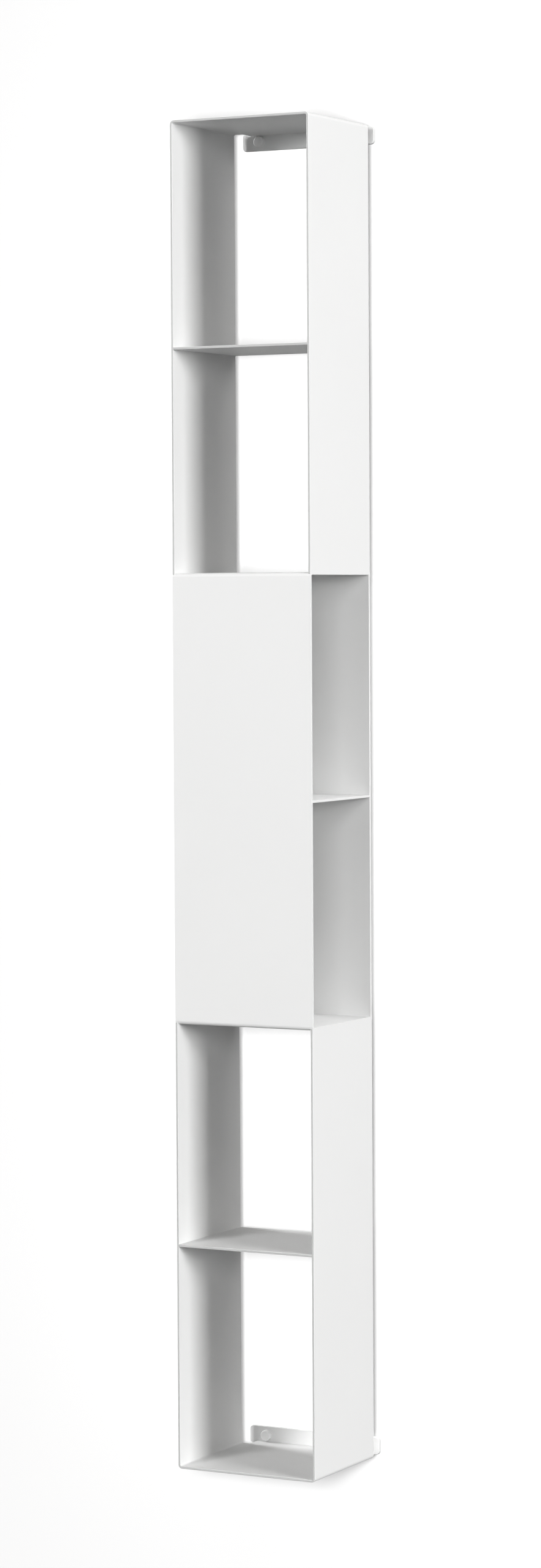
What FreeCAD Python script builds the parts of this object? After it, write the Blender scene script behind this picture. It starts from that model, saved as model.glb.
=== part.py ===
"""Wall-hung book column of folded, powder-coated sheet steel.

Three blocks stand on each other, each two compartments high. The upper and the lower block are open in
front and behind. The middle block is turned a quarter: closed in front and behind, open left and right.
Two flat bars behind the column's ends carry it on the wall.

Frame: the origin is on the wall's plane, in the middle of the four wall screws. +X is right, +Z is up and
the wall lies towards +Y, so the column's front faces -Y. Sizes are in millimetres.
"""
import FreeCAD, Part
import Sketcher
import math
import os

# Driving dimensions, one cell each
DIMENSIONS = {
    # The column and its sheet
    "column_width": 190,
    "column_depth": 160,
    "clear_height": 272,
    "sheet": 3,
    "bend_inside": 2,
    "edge_bevel": 0.5,
    "corner_drop": 2,
    # The bars that stand between the column and the wall
    "wall_gap": 21,
    "bar_thickness": 5,
    "bar_height": 22,
    "bar_end_inset": 3,
    "bar_corner": 5,
    "bar_rim_round": 1,
    "tongue_inset": 15,
    "tongue_clearance": 0.2,
    # The wall screws and their caps
    "screw_inset": 25,
    "screw_diameter": 6,
    "neck_diameter": 4.4,
    "screw_length": 60,
    "screw_tip": 8,
    "screw_clearance": 0.25,
    "head_diameter": 10.5,
    "head_height": 4.4,
    "head_chamfer": 0.8,
    "drive_flats": 4,
    "drive_depth": 2.4,
    "cap_clearance": 0.1,
    "cap_wall": 1.4,
    "cap_chamfer": 1.2,
}

doc = FreeCAD.newDocument("book_column")
dims = doc.addObject("Spreadsheet::Sheet", "dims")
for row, (alias, size) in enumerate(DIMENSIONS.items(), start=1):
    dims.set(f"A{row}", alias)
    dims.set(f"B{row}", str(size))
    dims.setAlias(f"B{row}", alias)
doc.recompute()

# Heights: six compartments between seven plates, evenly about the column's middle
PITCH = "(dims.clear_height + dims.sheet)"
COLUMN_TOP = f"(3 * {PITCH} + dims.sheet / 2)"
BLOCK_TOP = f"({PITCH} + dims.sheet / 2)"
SHELF_RISE = f"(2 * {PITCH})"

# Widths, counted from the middle
OUTSIDE = "(dims.column_width / 2)"
INSIDE = f"({OUTSIDE} - dims.sheet)"

# Depths, counted from the wall's plane towards the front
COLUMN_BACK = "(dims.bar_thickness + dims.wall_gap)"
COLUMN_FRONT = f"({COLUMN_BACK} + dims.column_depth)"
PANEL_BACK = f"({COLUMN_BACK} + dims.sheet)"
PANEL_FRONT = f"({COLUMN_FRONT} - dims.sheet)"

# Bends, and the places of the screws
BEND_OUTSIDE = "(dims.bend_inside + dims.sheet)"
TONGUE_SIDE = f"({OUTSIDE} - dims.tongue_inset)"
BAR_END = f"({OUTSIDE} - dims.bar_end_inset)"
SCREW_SIDE = f"({BAR_END} - dims.screw_inset)"
SCREW_RISE = f"({COLUMN_TOP} - dims.bar_height / 2)"
CAP_BORE = "(dims.head_diameter / 2 + dims.cap_clearance)"

X_AXIS, Y_AXIS, Z_AXIS = range(3)
HALF_TURN = FreeCAD.Rotation(FreeCAD.Vector(0, 1, 0), 180)
TOLERANCE = 1e-4


def size_of(expression):
    """The value of an expression of the sheet's cells, in millimetres."""
    value = dims.evalExpression(expression)
    return float(getattr(value, "Value", value))


def is_near(value, target):
    return abs(value - target) < TOLERANCE


def new_body(label):
    body = doc.addObject("PartDesign::Body", label)
    body.Label = label
    return body


def new_sketch(body, name, role, offset="0"):
    """A sketch on one of the body's own origin planes, moved along the plane's normal."""
    plane = next(plane for plane in body.Origin.OriginFeatures if plane.Role == role)
    sketch = body.newObject("Sketcher::SketchObject", name)
    sketch.AttachmentSupport = [(plane, "")]
    sketch.MapMode = "FlatFace"
    sketch.setExpression("AttachmentOffset.Base.z", offset)
    return sketch


def arc_between(start, end, radius):
    """The short arc from start to end, counter-clockwise."""
    chord = end - start
    rise = math.sqrt(max(radius ** 2 - (chord.Length / 2) ** 2, 0))
    side = FreeCAD.Vector(-chord.y, chord.x, 0).normalize()
    centre = (start + end) / 2 + side * rise
    first = math.atan2(start.y - centre.y, start.x - centre.x)
    last = math.atan2(end.y - centre.y, end.x - centre.x)
    if last < first:
        last += 2 * math.pi
    return Part.ArcOfCircle(Part.Circle(centre, FreeCAD.Vector(0, 0, 1), radius), first, last)


def fix_size(sketch, expression, kind, *ends):
    """Add a dimension to a sketch and tie it to the sheet."""
    index = sketch.addConstraint(Sketcher.Constraint(kind, *ends, size_of(expression)))
    sketch.setExpression(f"Constraints[{index}]", expression)


def fix_point(sketch, edge, end, x, y):
    """Tie a point to the sheet, or to a sketch axis where its coordinate is zero."""
    origin = (-1, 1)
    for kind, axis, expression in (("DistanceX", -2, x), ("DistanceY", -1, y)):
        if expression == "0":
            sketch.addConstraint(Sketcher.Constraint("PointOnObject", edge, end, axis))
        else:
            fix_size(sketch, expression, kind, *origin, edge, end)


def draw_outline(sketch, vertices):
    """Draw a closed outline. A vertex is (x, y), or (x, y, radius) where an arc leads to it."""
    points = [FreeCAD.Vector(size_of(vertex[0]), size_of(vertex[1]), 0) for vertex in vertices]
    edges = []
    for number, (x, y, *radius) in enumerate(vertices):
        start, end = points[number - 1], points[number]
        if radius:
            edges.append(sketch.addGeometry(arc_between(start, end, size_of(radius[0]))))
            fix_size(sketch, radius[0], "Radius", edges[-1])
        else:
            edges.append(sketch.addGeometry(Part.LineSegment(start, end)))
        fix_point(sketch, edges[-1], 2, x, y)
    for number, edge in enumerate(edges):
        sketch.addConstraint(Sketcher.Constraint("Coincident", edges[number - 1], 2, edge, 1))


def draw_rectangle(sketch, left, right, bottom, top):
    draw_outline(sketch, [(left, bottom), (right, bottom), (right, top), (left, top)])


def add_pad(body, sketch, length, symmetric=False):
    pad = body.newObject("PartDesign::Pad", sketch.Name + "_pad")
    pad.Profile = sketch
    pad.SideType = "Symmetric" if symmetric else "One side"
    pad.setExpression("Length", length)
    doc.recompute()


def add_cut(body, sketch, depth=None):
    """Cut the sketch into the body: to a depth, or right through to both sides."""
    before = body.Shape.Volume
    cut = body.newObject("PartDesign::Pocket", sketch.Name + "_cut")
    cut.Profile = sketch
    if depth:
        cut.setExpression("Length", depth)
    else:
        cut.SideType = "Symmetric"
        cut.Type = "ThroughAll"
    doc.recompute()
    if body.Shape.Volume >= before:
        raise RuntimeError(f"{sketch.Name} cuts nothing")


def add_turning(body, sketch):
    """Turn a profile drawn beside the sketch's upright axis into a round piece."""
    turning = body.newObject("PartDesign::Revolution", sketch.Name + "_turning")
    turning.Profile = sketch
    turning.ReferenceAxis = (sketch, ["V_Axis"])
    turning.Angle = 360
    doc.recompute()


def dress_edges(body, name, kind, size, is_chosen):
    """Round (Fillet) or bevel (Chamfer) the edges of the body that is_chosen() accepts."""
    base = body.Tip
    edges = enumerate(base.Shape.Edges, start=1)
    dressing = body.newObject("PartDesign::" + kind, f"{body.Name}_{name}")
    dressing.Base = (base, [f"Edge{number}" for number, edge in edges if is_chosen(edge)])
    dressing.setExpression("Radius" if kind == "Fillet" else "Size", size)
    doc.recompute()


def add_fillet(body, name, radius, is_chosen):
    dress_edges(body, name, "Fillet", radius, is_chosen)


def add_bevel(body, is_chosen):
    """Break the sharp edges that the sheet was cut with."""
    dress_edges(body, "bevel", "Chamfer", "dims.edge_bevel", is_chosen)


def runs_along(edge, axis):
    return isinstance(edge.Curve, Part.Line) and is_near(abs(edge.Curve.Direction[axis]), 1)


def lies_at_depth(edge, *depths):
    """Whether an edge lies in one of the planes at these depths in front of the wall."""
    box = edge.BoundBox
    places = [-size_of(depth) for depth in depths]
    return any(is_near(box.YMin, place) and is_near(box.YMax, place) for place in places)


def fold_corners(body, axis, across, rise):
    """Bend the sheet at its profile's corners, which run along an axis."""
    bends = (("outer_bends", BEND_OUTSIDE, "0"), ("inner_bends", "dims.bend_inside", "dims.sheet"))
    for name, radius, step in bends:
        corner = [size_of(f"{place} - {step}") for place in (across, rise)]

        def is_corner(edge):
            middle = edge.CenterOfMass
            place = (middle.x if axis == Y_AXIS else middle.y, middle.z)
            return runs_along(edge, axis) and all(is_near(abs(a), b) for a, b in zip(place, corner))

        add_fillet(body, name, radius, is_corner)


def make_shell(label):
    """Two walls and the panel that closes a block's far end, folded from one sheet.

    It is drawn for the upper block. The walls stand on the middle block, and their front corners reach
    down over its bend. A tongue of the panel runs back over the wall bar.
    """
    body = new_body(label)
    ceiling = f"({COLUMN_TOP} - dims.sheet)"
    foot = f"({BLOCK_TOP} - dims.corner_drop)"
    profile = new_sketch(body, label + "_profile", "XZ_Plane", COLUMN_BACK)
    draw_outline(profile, [
        (f"-{OUTSIDE}", foot), (f"-{INSIDE}", foot), (f"-{INSIDE}", ceiling), (INSIDE, ceiling),
        (INSIDE, foot), (OUTSIDE, foot), (OUTSIDE, COLUMN_TOP), (f"-{OUTSIDE}", COLUMN_TOP),
    ])
    add_pad(body, profile, "dims.column_depth")
    fold_corners(body, Y_AXIS, OUTSIDE, COLUMN_TOP)
    foot_height = size_of(foot) + TOLERANCE
    add_bevel(body, lambda edge: lies_at_depth(edge, COLUMN_FRONT, COLUMN_BACK)
              and edge.CenterOfMass.z > foot_height)

    # The walls' feet are cut level with the middle block's top, and round its front bend
    bend_start = f"(-{COLUMN_FRONT} + {BEND_OUTSIDE})"
    bend_reach = f"sqrt(pow({BEND_OUTSIDE}; 2) - pow({BEND_OUTSIDE} - dims.corner_drop; 2))"
    seat = new_sketch(body, label + "_seat", "YZ_Plane")
    draw_outline(seat, [
        (f"-{COLUMN_BACK}", foot), (f"-{COLUMN_BACK}", BLOCK_TOP), (bend_start, BLOCK_TOP),
        (f"({bend_start} - {bend_reach})", foot, BEND_OUTSIDE),
    ])
    add_cut(body, seat)

    tongue = new_sketch(body, label + "_tongue", "XY_Plane", ceiling)
    draw_rectangle(tongue, f"-{TONGUE_SIDE}", TONGUE_SIDE, f"-{PANEL_BACK}", "0")
    add_pad(body, tongue, "dims.sheet")
    return body


def make_middle_shell(label):
    """Front panel and the plates above and below it, folded from one sheet."""
    body = new_body(label)
    ceiling = f"({BLOCK_TOP} - dims.sheet)"
    profile = new_sketch(body, label + "_profile", "YZ_Plane")
    draw_outline(profile, [
        (f"-{COLUMN_BACK}", f"-{BLOCK_TOP}"), (f"-{COLUMN_BACK}", f"-{ceiling}"),
        (f"-{PANEL_FRONT}", f"-{ceiling}"), (f"-{PANEL_FRONT}", ceiling),
        (f"-{COLUMN_BACK}", ceiling), (f"-{COLUMN_BACK}", BLOCK_TOP),
        (f"-{COLUMN_FRONT}", BLOCK_TOP), (f"-{COLUMN_FRONT}", f"-{BLOCK_TOP}"),
    ])
    add_pad(body, profile, "dims.column_width", symmetric=True)
    fold_corners(body, X_AXIS, COLUMN_FRONT, BLOCK_TOP)
    return body


def make_back_panel(label):
    """Flat panel between the middle block's plates, flush with their back edges."""
    body = new_body(label)
    outline = new_sketch(body, label + "_outline", "XZ_Plane", COLUMN_BACK)
    draw_rectangle(outline, f"-{OUTSIDE}", OUTSIDE, f"-{BLOCK_TOP} + dims.sheet", f"{BLOCK_TOP} - dims.sheet")
    add_pad(body, outline, "dims.sheet")
    add_bevel(body, lambda edge: runs_along(edge, Z_AXIS))
    return body


def make_shelf(label, side, front, back, level, free_axis):
    """Flat shelf, welded edge to face; the edges along its free axis stay in view and are bevelled."""
    body = new_body(label)
    outline = new_sketch(body, label + "_outline", "XY_Plane", level)
    draw_rectangle(outline, f"-{side}", side, f"-{front}", f"-{back}")
    add_pad(body, outline, "dims.sheet", symmetric=True)
    add_bevel(body, lambda edge: runs_along(edge, free_axis))
    return body


def make_bar(label):
    """Flat bar on the wall. It is drawn for the upper end, with a seat for the tongue in its top edge."""
    body = new_body(label)
    low = f"({COLUMN_TOP} - dims.bar_height)"
    seat = f"({COLUMN_TOP} - dims.sheet)"
    seat_side = f"({TONGUE_SIDE} + dims.tongue_clearance)"
    profile = new_sketch(body, label + "_profile", "XZ_Plane")
    draw_outline(profile, [
        (f"-{BAR_END}", low), (BAR_END, low), (BAR_END, COLUMN_TOP),
        (seat_side, COLUMN_TOP), (seat_side, seat), (f"-{seat_side}", seat), (f"-{seat_side}", COLUMN_TOP),
        (f"-{BAR_END}", COLUMN_TOP),
    ])
    add_pad(body, profile, "dims.bar_thickness")
    end_side = size_of(BAR_END)
    add_fillet(body, "corners", "dims.bar_corner",
               lambda edge: runs_along(edge, Y_AXIS) and is_near(abs(edge.CenterOfMass.x), end_side))

    # The front rim is rounded, all but the tongue's seat
    ear_side = size_of(seat_side) + TOLERANCE
    low_height = size_of(low)
    add_fillet(body, "rim", "dims.bar_rim_round",
               lambda edge: lies_at_depth(edge, "dims.bar_thickness")
               and (abs(edge.CenterOfMass.x) > ear_side or is_near(edge.CenterOfMass.z, low_height)))

    holes = new_sketch(body, label + "_holes", "XZ_Plane")
    radius = "dims.screw_diameter / 2 + dims.screw_clearance"
    for side in (f"-{SCREW_SIDE}", SCREW_SIDE):
        centre = FreeCAD.Vector(size_of(side), size_of(SCREW_RISE), 0)
        circle = holes.addGeometry(Part.Circle(centre, FreeCAD.Vector(0, 0, 1), size_of(radius)))
        fix_size(holes, radius, "Radius", circle)
        fix_point(holes, circle, 3, side, SCREW_RISE)
    add_cut(body, holes)
    return body


def make_screw(label):
    """Cheese-head wall screw: a thin neck in the bar, and from the wall's plane on the full shank."""
    body = new_body(label)
    shank = "dims.screw_diameter / 2"
    neck = "dims.neck_diameter / 2"
    head = "dims.head_diameter / 2"
    seat = "-dims.bar_thickness"
    tip = f"({seat} + dims.screw_length)"
    crown = f"({seat} - dims.head_height)"
    profile = new_sketch(body, label + "_profile", "XY_Plane")
    draw_outline(profile, [
        ("0", tip), ("0", crown), (f"({head} - dims.head_chamfer)", crown),
        (head, f"({crown} + dims.head_chamfer)"), (head, seat),
        (neck, seat), (neck, "0"), (shank, "0"), (shank, f"({tip} - dims.screw_tip)"),
    ])
    add_turning(body, profile)

    # Six-sided socket in the head
    flat = "dims.drive_flats / 2"
    half_side = "dims.drive_flats / (2 * sqrt(3))"
    point = "dims.drive_flats / sqrt(3)"
    socket = new_sketch(body, label + "_socket", "XZ_Plane", "dims.bar_thickness + dims.head_height")
    draw_outline(socket, [
        (flat, f"-{half_side}"), (flat, half_side), ("0", point),
        (f"-{flat}", half_side), (f"-{flat}", f"-{half_side}"), ("0", f"-{point}"),
    ])
    add_cut(body, socket, "dims.drive_depth")
    return body


def make_cap(label):
    """Cover cap, pushed over the screw's head until its rim meets the bar."""
    body = new_body(label)
    rim = "-dims.bar_thickness"
    outside = f"({CAP_BORE} + dims.cap_wall)"
    roof = f"({rim} - dims.head_height - dims.cap_clearance)"
    top = f"({roof} - dims.cap_wall)"
    profile = new_sketch(body, label + "_profile", "XY_Plane")
    draw_outline(profile, [
        ("0", roof), ("0", top), (f"({outside} - dims.cap_chamfer)", top),
        (outside, f"({top} + dims.cap_chamfer)"), (outside, rim), (CAP_BORE, rim), (CAP_BORE, roof),
    ])
    add_turning(body, profile)
    return body


pieces = []

# The folded shells and the bars: the lower ones are the upper ones, turned over
for make, name in ((make_shell, "shell"), (make_bar, "wall_bar")):
    pieces.append(make("upper_" + name))
    pieces.append(make("lower_" + name))
    pieces[-1].Placement = FreeCAD.Placement(FreeCAD.Vector(), HALF_TURN)

# The middle block, and the shelves that halve the blocks
pieces.append(make_middle_shell("middle_shell"))
pieces.append(make_back_panel("middle_back_panel"))
pieces.append(make_shelf("middle_shelf", OUTSIDE, PANEL_FRONT, PANEL_BACK, "0", Y_AXIS))
for name, level in (("upper_shelf", SHELF_RISE), ("lower_shelf", f"-{SHELF_RISE}")):
    pieces.append(make_shelf(name, INSIDE, COLUMN_FRONT, COLUMN_BACK, level, X_AXIS))

# A screw and its cap at each end of each bar
for level, rise in (("upper", "1"), ("lower", "-1")):
    for hand, side in (("left", "-1"), ("right", "1")):
        for make, name in ((make_screw, "wall_screw"), (make_cap, "screw_cap")):
            piece = make(f"{name}_{level}_{hand}")
            piece.setExpression("Placement.Base.x", f"{side} * {SCREW_SIDE}")
            piece.setExpression("Placement.Base.z", f"{rise} * {SCREW_RISE}")
            pieces.append(piece)

doc.recompute()
for item in doc.Objects:
    if "Invalid" in item.State or "Error" in item.State:
        raise RuntimeError(f"{item.Label} failed: {item.State}")
for piece in pieces:
    if piece.Shape.isNull() or not piece.Shape.isValid():
        raise RuntimeError(f"{piece.Label} has no valid shape")

os.makedirs("parts", exist_ok=True)
for piece in pieces:
    piece.Shape.exportStep(f"parts/{piece.Label}.step")
    print(f"{piece.Label}: {piece.Shape.Volume / 1000:.2f} cm3")
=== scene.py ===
"""Looks of a wall-hung shelf column of white powder-coated sheet steel.

Everything is in metres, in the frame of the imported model: the wall's plane is y = 0, +Z is up and the
column's front faces -Y.
"""
import math

import bpy
from mathutils import Matrix, Vector


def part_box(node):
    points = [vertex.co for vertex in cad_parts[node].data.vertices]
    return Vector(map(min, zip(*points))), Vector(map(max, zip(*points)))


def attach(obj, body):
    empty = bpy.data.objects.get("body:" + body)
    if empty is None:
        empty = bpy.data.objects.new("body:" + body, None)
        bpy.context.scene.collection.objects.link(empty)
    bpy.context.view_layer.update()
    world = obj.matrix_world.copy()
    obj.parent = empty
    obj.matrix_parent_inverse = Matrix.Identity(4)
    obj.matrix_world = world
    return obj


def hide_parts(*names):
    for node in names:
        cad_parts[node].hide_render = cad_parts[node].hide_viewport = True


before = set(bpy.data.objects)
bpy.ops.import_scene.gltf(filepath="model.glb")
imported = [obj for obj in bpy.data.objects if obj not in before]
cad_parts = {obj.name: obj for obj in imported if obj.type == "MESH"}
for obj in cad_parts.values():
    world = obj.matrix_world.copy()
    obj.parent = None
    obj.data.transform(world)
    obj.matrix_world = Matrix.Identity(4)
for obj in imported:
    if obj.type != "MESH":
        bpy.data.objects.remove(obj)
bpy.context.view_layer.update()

MM = 0.001
WHITE = (1, 1, 1, 1)

# Camera fitted to the column's edges in the photograph: height and focal length in its pixels, sensor in mm
IMAGE_HEIGHT = 2560
FOCAL_LENGTH = 6796
SENSOR = 36
CAMERA_PLACE = Vector((2.398, -4.628, 0.2475))
CAMERA_YAW = math.radians(27.97)
CAMERA_PITCH = math.radians(-2.58)
CAMERA_ROLL = math.radians(-0.313)

# Soft lamps: place, side of the square, and how bright a white surface is that faces the lamp at its aim
LAMPS = {
    "key_lamp": ((8.6, -2.55, 1.5), 2.5, 0.8),
    "side_lamp": ((6.5, 0.7, 2.2), 2.0, 0.14),
    "front_lamp": ((-2.4, -7.0, 1.8), 1.9, 0.56),
    "camera_lamp": ((2.7, -6.9, 1.7), 1.9, 0.23),
    "back_lamp": ((-1.2, 5.4, 1.2), 2.0, 0.62),
    "left_lamp": ((-5.5, 0.6, 2.6), 2.0, 0.8),
    "top_lamp": ((0.3, -0.1, 4.2), 0.5, 0.15),
    "floor_lamp": ((0.1, -0.4, -1.1), 0.5, 0.025),
    "wall_lamp": ((2.12, -5.56, 0.28), 1.0, 1.5),
}
LAMP_AIM = Vector((0, -0.1, 0))
BACK_PIECES = ("middle_back_panel", "upper_wall_bar", "lower_wall_bar")

# Light from all round: its tint, its levels from below and above, and the rise of the two directions
# between which it grows
AMBIENT_TINT = (1, 0.94, 0.88, 1)
AMBIENT_LEVELS = (0, 0.1)
AMBIENT_RISES = (-0.6, 0.6)

# Stage: half side of the wall and floor, the floor's height, and how they turn light into white
STAGE_REACH = 12
FLOOR_LEVEL = -1.15
STAGE_PAINT = (0.5, 0.5, 0.5, 1)
STAGE_TINT = (0.99, 0.99, 0.99, 1)
STAGE_DRIFT = 300 * MM
WALL_GLOW = 0.36
FLOOR_GLOW = 0.7
FAR_GLOW = 1
FADE_RANGE = (1.5, 5)

# Noise of all finishes: its detail, and the part of its range that most of it lies in
NOISE_DETAIL = 2
NOISE_RANGE = (0.3, 0.7)

# Powder coat: colours and the size of their drift, gloss and its patches, and the orange peel
COAT_DARK = (0.827, 0.83, 0.828, 1)
COAT_LIGHT = (0.847, 0.85, 0.848, 1)
COAT_DRIFT = 120 * MM
COAT_ROUGHNESS = (0.54, 0.64)
COAT_PATCH = 9 * MM
COAT_SPECULAR = 0.25
PEEL_SIZE = 1.2 * MM
PEEL_HEIGHT = 0.03 * MM

# Painted shade on the sheets' front cut edges: the share of the coat's colour left there, and the depths
# behind the front between which the full colour comes back
PAINTED_EDGE_SHADE_SHARE = 0.66
PAINTED_EDGE_SHADE_START = 0.1 * MM
PAINTED_EDGE_SHADE_END = 0.4 * MM

# Zinc plating: colours and the size of their clouds, gloss and its patches, and the grain
ZINC_COOL = (0.55, 0.56, 0.58, 1)
ZINC_WARM = (0.68, 0.67, 0.63, 1)
ZINC_CLOUD = 3 * MM
ZINC_ROUGHNESS = (0.28, 0.42)
ZINC_PATCH = 0.8 * MM
ZINC_GRAIN_SIZE = 0.4 * MM
ZINC_GRAIN_HEIGHT = 0.01 * MM

# Plastic of the caps: colours and the size of their clouds, gloss and its patches, and the grain
PLASTIC_DARK = (0.9, 0.902, 0.9, 1)
PLASTIC_LIGHT = (0.93, 0.932, 0.93, 1)
PLASTIC_CLOUD = 6 * MM
PLASTIC_ROUGHNESS = (0.45, 0.6)
PLASTIC_PATCH = 0.6 * MM
PLASTIC_GRAIN_SIZE = 0.3 * MM
PLASTIC_GRAIN_HEIGHT = 0.015 * MM

# Wall screws: a hexagon socket, a neck in the bar, and a thread whose ridge takes a share of its pitch
SOCKET_FLATS = 4 * MM
SOCKET_DEPTH = 2.4 * MM
HEAD_ROUND = 0.8 * MM
NECK_RADIUS = 2.2 * MM
SHANK_RADIUS = 3 * MM
TIP_LENGTH = 8 * MM
CORE_RADIUS = 2 * MM
THREAD_PITCH = 2.6 * MM
THREAD_SHARE = 0.56
ROWS_PER_PITCH = 12
SCREW_SIDES = 24

# Screw caps: a shallow crown, a round edge and a bore over the screw's head
CROWN_RISE = 0.35 * MM
CAP_ROUND = 1.3 * MM
CAP_WALL = 1.4 * MM
CAP_SIDES = 48
ROUND_STEPS = 6

# Edges that turn by more than this are shaded sharp
SHARP_ANGLE = math.radians(35)

# Depths of the column's front and of the wall bars' front
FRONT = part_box("upper_shell")[0].y
BAR_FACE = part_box("upper_wall_bar")[0].y


def add_node(tree, kind, settings=None, inputs=None):
    """A shader node. An input is a plain value or another node's output."""
    node = tree.nodes.new("ShaderNode" + kind)
    for name, value in (settings or {}).items():
        setattr(node, name, value)
    for name, value in (inputs or {}).items():
        if isinstance(value, bpy.types.NodeSocket):
            tree.links.new(value, node.inputs[name])
        else:
            node.inputs[name].default_value = value
    return node


def new_material(name):
    material = bpy.data.materials.new(name)
    material.use_nodes = True
    material.node_tree.nodes.clear()
    return material


def set_surface(material, shader):
    add_node(material.node_tree, "OutputMaterial", inputs={"Surface": shader})
    return material


def grain(tree, size):
    """Noise in the object's own space with lumps of that size, from 0 to 1."""
    place = add_node(tree, "TexCoord").outputs["Object"]
    inputs = {"Vector": place, "Scale": 1 / size, "Detail": NOISE_DETAIL}
    return add_node(tree, "TexNoise", inputs=inputs).outputs["Fac"]


def blend_colours(tree, factor, low, high):
    ramp = add_node(tree, "ValToRGB", inputs={"Fac": factor})
    ramp.color_ramp.elements[0].color = low
    ramp.color_ramp.elements[1].color = high
    return ramp.outputs["Color"]


def carry_over(tree, value, source, target):
    """A value carried over from one range to another, and held at that range's ends."""
    inputs = {"Value": value, "From Min": source[0], "From Max": source[1]}
    inputs.update({"To Min": target[0], "To Max": target[1]})
    return add_node(tree, "MapRange", inputs=inputs).outputs["Result"]


def relief(tree, height, depth):
    bump = add_node(tree, "Bump", inputs={"Height": height, "Strength": 1, "Distance": depth})
    return bump.outputs["Normal"]


def mix_shaders(tree, factor, first, second):
    mixed = add_node(tree, "MixShader", inputs={0: factor, 1: first.outputs[0], 2: second.outputs[0]})
    return mixed.outputs[0]


def powder_coat(name, has_painted_edge_shade):
    """White powder coat with fine orange peel, and painted shade that darkens the sheets' front cut edges.
    """
    material = new_material(name)
    tree = material.node_tree
    colour = blend_colours(tree, grain(tree, COAT_DRIFT), COAT_DARK, COAT_LIGHT)
    # Painted shade: the sheets' front cut edges are darkened to a share of the coat's colour
    if has_painted_edge_shade:
        place = add_node(tree, "TexCoord").outputs["Object"]
        depth = add_node(tree, "SeparateXYZ", inputs={"Vector": place}).outputs["Y"]
        painted_shade_band = (FRONT + PAINTED_EDGE_SHADE_START, FRONT + PAINTED_EDGE_SHADE_END)
        share = carry_over(tree, depth, painted_shade_band, (PAINTED_EDGE_SHADE_SHARE, 1))
        scaled = add_node(tree, "VectorMath", {"operation": "SCALE"}, {0: colour, "Scale": share})
        colour = scaled.outputs[0]
    shader = add_node(tree, "BsdfPrincipled", inputs={
        "Base Color": colour,
        "Roughness": carry_over(tree, grain(tree, COAT_PATCH), NOISE_RANGE, COAT_ROUGHNESS),
        "Specular IOR Level": COAT_SPECULAR,
        "Normal": relief(tree, grain(tree, PEEL_SIZE), PEEL_HEIGHT),
    })
    return set_surface(material, shader.outputs["BSDF"])


def zinc_steel(name):
    """Zinc-plated steel with the faint cloudiness of its passivation."""
    material = new_material(name)
    tree = material.node_tree
    shader = add_node(tree, "BsdfPrincipled", inputs={
        "Base Color": blend_colours(tree, grain(tree, ZINC_CLOUD), ZINC_COOL, ZINC_WARM),
        "Metallic": 1,
        "Roughness": carry_over(tree, grain(tree, ZINC_PATCH), NOISE_RANGE, ZINC_ROUGHNESS),
        "Normal": relief(tree, grain(tree, ZINC_GRAIN_SIZE), ZINC_GRAIN_HEIGHT),
    })
    return set_surface(material, shader.outputs["BSDF"])


def cap_plastic(name):
    """White moulded plastic with a fine spark-eroded texture."""
    material = new_material(name)
    tree = material.node_tree
    shader = add_node(tree, "BsdfPrincipled", inputs={
        "Base Color": blend_colours(tree, grain(tree, PLASTIC_CLOUD), PLASTIC_DARK, PLASTIC_LIGHT),
        "Roughness": carry_over(tree, grain(tree, PLASTIC_PATCH), NOISE_RANGE, PLASTIC_ROUGHNESS),
        "Normal": relief(tree, grain(tree, PLASTIC_GRAIN_SIZE), PLASTIC_GRAIN_HEIGHT),
    })
    return set_surface(material, shader.outputs["BSDF"])


def sight_ray(tree):
    """1 on the rays that show the background: to the camera, in gloss and through clear things."""
    path = add_node(tree, "LightPath")
    total = path.outputs["Is Camera Ray"]
    for name in ("Is Glossy Ray", "Is Transmission Ray"):
        pair = {0: total, 1: path.outputs[name]}
        total = add_node(tree, "Math", {"operation": "MAXIMUM"}, pair).outputs[0]
    return total


def stage_white(name, near_glow):
    """White paint that keeps soft shadows and fades into white far away.

    It is seen from its front only, and lights nothing.
    """
    material = new_material(name)
    tree = material.node_tree
    tint = blend_colours(tree, grain(tree, STAGE_DRIFT), STAGE_TINT, WHITE)
    place = add_node(tree, "TexCoord").outputs["Object"]
    distance = add_node(tree, "VectorMath", {"operation": "LENGTH"}, {0: place}).outputs["Value"]
    strength = carry_over(tree, distance, FADE_RANGE, (near_glow, FAR_GLOW))
    glow = add_node(tree, "Emission", inputs={"Color": tint, "Strength": strength})
    paint = add_node(tree, "BsdfDiffuse", inputs={"Color": STAGE_PAINT})
    white = add_node(tree, "AddShader", inputs={0: glow.outputs[0], 1: paint.outputs[0]})
    behind = add_node(tree, "NewGeometry").outputs["Backfacing"]
    difference = {"operation": "SUBTRACT", "use_clamp": True}
    shown = add_node(tree, "Math", difference, {0: sight_ray(tree), 1: behind}).outputs[0]
    clear = add_node(tree, "BsdfTransparent")
    return set_surface(material, mix_shaders(tree, shown, clear, white))


def add_object(name, points, faces, material):
    mesh = bpy.data.meshes.new(name)
    mesh.from_pydata(points, [], faces)
    mesh.polygons.foreach_set("use_smooth", [True] * len(faces))
    mesh.set_sharp_from_angle(angle=SHARP_ANGLE)
    mesh.materials.append(material)
    piece = bpy.data.objects.new(name, mesh)
    bpy.context.scene.collection.objects.link(piece)
    return piece


def full_turn(sides):
    """The angles of a turned piece's sides."""
    return [2 * math.pi * side / sides for side in range(sides)]


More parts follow.
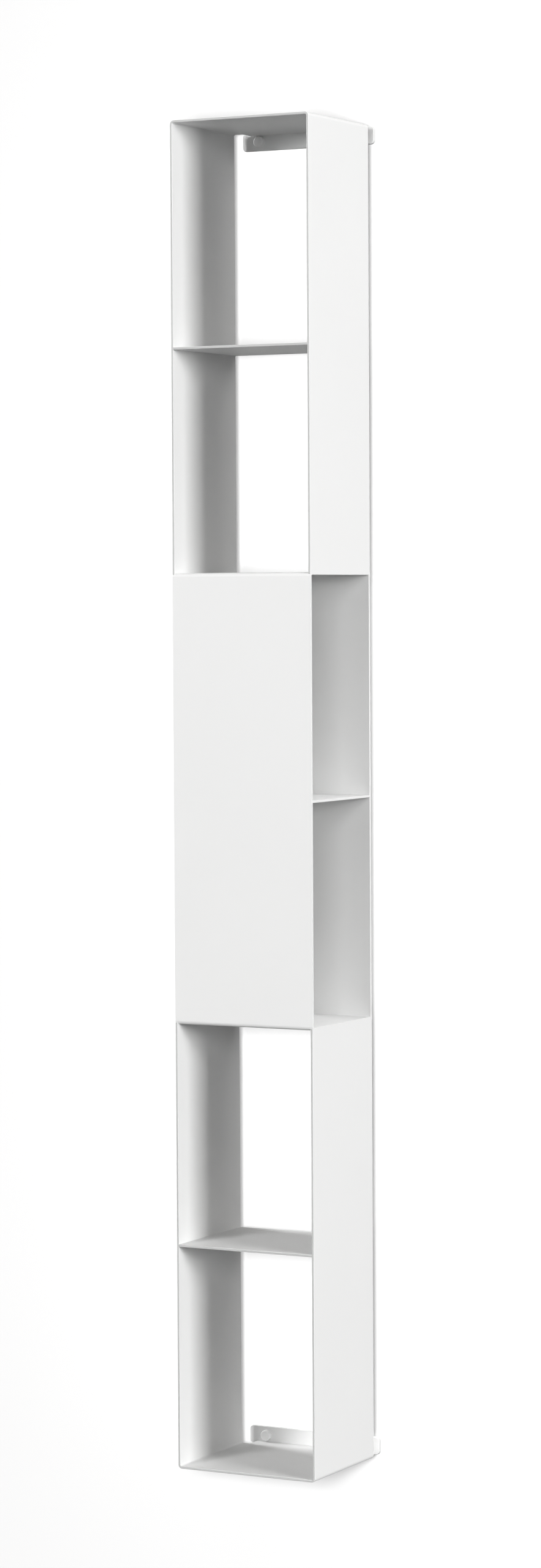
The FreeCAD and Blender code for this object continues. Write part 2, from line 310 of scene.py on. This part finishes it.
def turned(name, rows, centre, sides, material):
    """A piece turned about an axis along Y. A row is a depth and a radius, or a depth and radii by side."""
    points = []
    for depth, radius in rows:
        radii = radius if isinstance(radius, list) else [radius] * sides
        points += [(centre.x + r * math.cos(turn), depth, centre.z + r * math.sin(turn))
                   for r, turn in zip(radii, full_turn(sides))]
    last = (len(rows) - 1) * sides
    faces = [tuple(range(sides)), tuple(reversed(range(last, last + sides)))]
    for low in range(0, last, sides):
        for side in range(sides):
            after = (side + 1) % sides
            faces.append((low + side, low + sides + side, low + sides + after, low + after))
    return add_object(name, points, faces, material)


def rounding(centre_depth, centre_radius, size):
    """Rows of a quarter round, from facing -Y to facing outwards."""
    steps = [math.pi / 2 * step / ROUND_STEPS for step in range(ROUND_STEPS + 1)]
    return [(centre_depth - size * math.cos(a), centre_radius + size * math.sin(a)) for a in steps]


def hexagon_radii(flats):
    """Distance from the axis to a hexagon's sides, at each side of a screw."""
    sixth = math.pi / 3
    return [flats / 2 / math.cos((turn + sixth / 2) % sixth - sixth / 2) for turn in full_turn(SCREW_SIDES)]


def thread_rows(tip):
    """Rows of the threaded shank, from the wall's plane to the tip."""
    count = int(tip / THREAD_PITCH * ROWS_PER_PITCH)
    rows = []
    for number in range(count):
        depth = tip * number / count
        taper = min(1, (tip - depth) / TIP_LENGTH)
        start = min(1, depth / THREAD_PITCH)
        radii = []
        for side in range(SCREW_SIDES):
            phase = (depth / THREAD_PITCH - side / SCREW_SIDES) % 1
            lift = max(0, 1 - abs(phase - 0.5) * 2 / THREAD_SHARE)
            radii.append(taper * (CORE_RADIUS + start * lift * (SHANK_RADIUS - CORE_RADIUS)))
        rows.append((depth, radii))
    return rows


def add_screw(node, material):
    """A screw with a socket in its head, a neck through the bar and a thread in the wall."""
    low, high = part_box(node)
    head = (high.x - low.x) / 2
    socket = hexagon_radii(SOCKET_FLATS)
    rows = [(low.y + SOCKET_DEPTH, socket), (low.y, socket)]
    rows += rounding(low.y + HEAD_ROUND, head - HEAD_ROUND, HEAD_ROUND)
    rows += [(BAR_FACE, head), (BAR_FACE, NECK_RADIUS), (0, NECK_RADIUS)]
    rows += thread_rows(high.y)
    return turned("threaded_" + node, rows, (low + high) / 2, SCREW_SIDES, material)


def add_cap(node, material):
    """A crowned cap with a round edge, hollow from the bar's side."""
    low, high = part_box(node)
    outside = (high.x - low.x) / 2
    crown = outside - CAP_ROUND
    shares = [(step + 1) / ROUND_STEPS for step in range(ROUND_STEPS - 1)]
    rows = [(low.y + CROWN_RISE * share ** 2, crown * share) for share in shares]
    rows += rounding(low.y + CROWN_RISE + CAP_ROUND, crown, CAP_ROUND)
    rows += [(high.y, outside), (high.y, outside - CAP_WALL), (low.y + CAP_WALL, outside - CAP_WALL)]
    return turned("turned_" + node, rows, (low + high) / 2, CAP_SIDES, material)


def assign(node, material):
    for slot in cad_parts[node].material_slots:
        slot.material = material


def add_stage():
    """Adds the floor below the column and the wall behind it, and returns the wall."""
    reach = STAGE_REACH
    corners = [(-reach, -reach), (reach, -reach), (reach, reach), (-reach, reach)]
    floor = [(x, y, FLOOR_LEVEL) for x, y in corners]
    wall = [(x, 0, max(y, FLOOR_LEVEL)) for x, y in corners]
    sides = [(0, 1, 2, 3)]
    add_object("stage_floor", floor, sides, stage_white("floor_white", FLOOR_GLOW))
    stage_wall = add_object("stage_wall", wall, sides, stage_white("wall_white", WALL_GLOW))
    return stage_wall


def link_light(holder, receivers, state):
    """Makes a lamp light these objects alone (INCLUDE), or all but these (EXCLUDE)."""
    lit = bpy.data.collections.new(holder.name + "_receivers")
    for receiver in receivers:
        lit.objects.link(receiver)
    for link in lit.collection_objects:
        link.light_linking.link_state = state
    holder.light_linking.receiver_collection = lit


def add_lamps(stage_wall):
    """Soft lamps. The wall and the column's back pieces each have a lamp that lights nothing else.

    The other lamps light everything but the wall.
    """
    back_pieces = [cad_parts[node] for node in BACK_PIECES]
    only_lit = {"wall_lamp": [stage_wall], "back_lamp": back_pieces}
    for name, (place, side, level) in LAMPS.items():
        reach = LAMP_AIM - Vector(place)
        lamp = bpy.data.lights.new(name, "AREA")
        lamp.size = side
        lamp.energy = level * (math.pi * reach.length) ** 2
        holder = bpy.data.objects.new(name, lamp)
        holder.location = place
        holder.rotation_euler = reach.to_track_quat("-Z", "Y").to_euler()
        holder.visible_camera = False
        bpy.context.scene.collection.objects.link(holder)
        if name in only_lit:
            link_light(holder, only_lit[name], "INCLUDE")
        else:
            link_light(holder, [stage_wall], "EXCLUDE")


def add_world():
    """White where it is seen, and a soft light from all round that is weaker from below."""
    world = bpy.data.worlds.new("studio")
    world.use_nodes = True
    tree = world.node_tree
    tree.nodes.clear()
    direction = add_node(tree, "TexCoord").outputs["Generated"]
    rise = add_node(tree, "SeparateXYZ", inputs={"Vector": direction}).outputs["Z"]
    ambient = carry_over(tree, rise, AMBIENT_RISES, AMBIENT_LEVELS)
    light = add_node(tree, "Background", inputs={"Color": AMBIENT_TINT, "Strength": ambient})
    white = add_node(tree, "Background", inputs={"Color": WHITE, "Strength": 1})
    surface = mix_shaders(tree, sight_ray(tree), light, white)
    add_node(tree, "OutputWorld", inputs={"Surface": surface})
    bpy.context.scene.world = world


def add_camera():
    data = bpy.data.cameras.new("camera")
    data.sensor_width = SENSOR
    data.lens = SENSOR * FOCAL_LENGTH / IMAGE_HEIGHT
    camera = bpy.data.objects.new("camera", data)
    turn = Matrix.Rotation(CAMERA_YAW, 4, "Z") @ Matrix.Rotation(math.pi / 2 + CAMERA_PITCH, 4, "X")
    turn = turn @ Matrix.Rotation(CAMERA_ROLL, 4, "Z")
    camera.matrix_world = Matrix.Translation(CAMERA_PLACE) @ turn
    bpy.context.scene.collection.objects.link(camera)
    bpy.context.scene.camera = camera


# The middle shell's front is a whole panel; the other sheets show a cut edge there, darkened with painted
# shade
coated = powder_coat("powder_coat", has_painted_edge_shade=True)
coated_panel = powder_coat("powder_coat_panel", has_painted_edge_shade=False)
steel = zinc_steel("zinc_steel")
plastic = cap_plastic("cap_plastic")
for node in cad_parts:
    if node.startswith("wall_screw"):
        piece, slot = add_screw(node, steel), "screw_steel"
    elif node.startswith("screw_cap"):
        piece, slot = add_cap(node, plastic), "cap_plastic"
    else:
        assign(node, coated_panel if node == "middle_shell" else coated)
        continue
    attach(piece, "root")
    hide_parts(node)

add_lamps(add_stage())
add_world()
add_camera()
bpy.context.scene.view_settings.view_transform = "Standard"
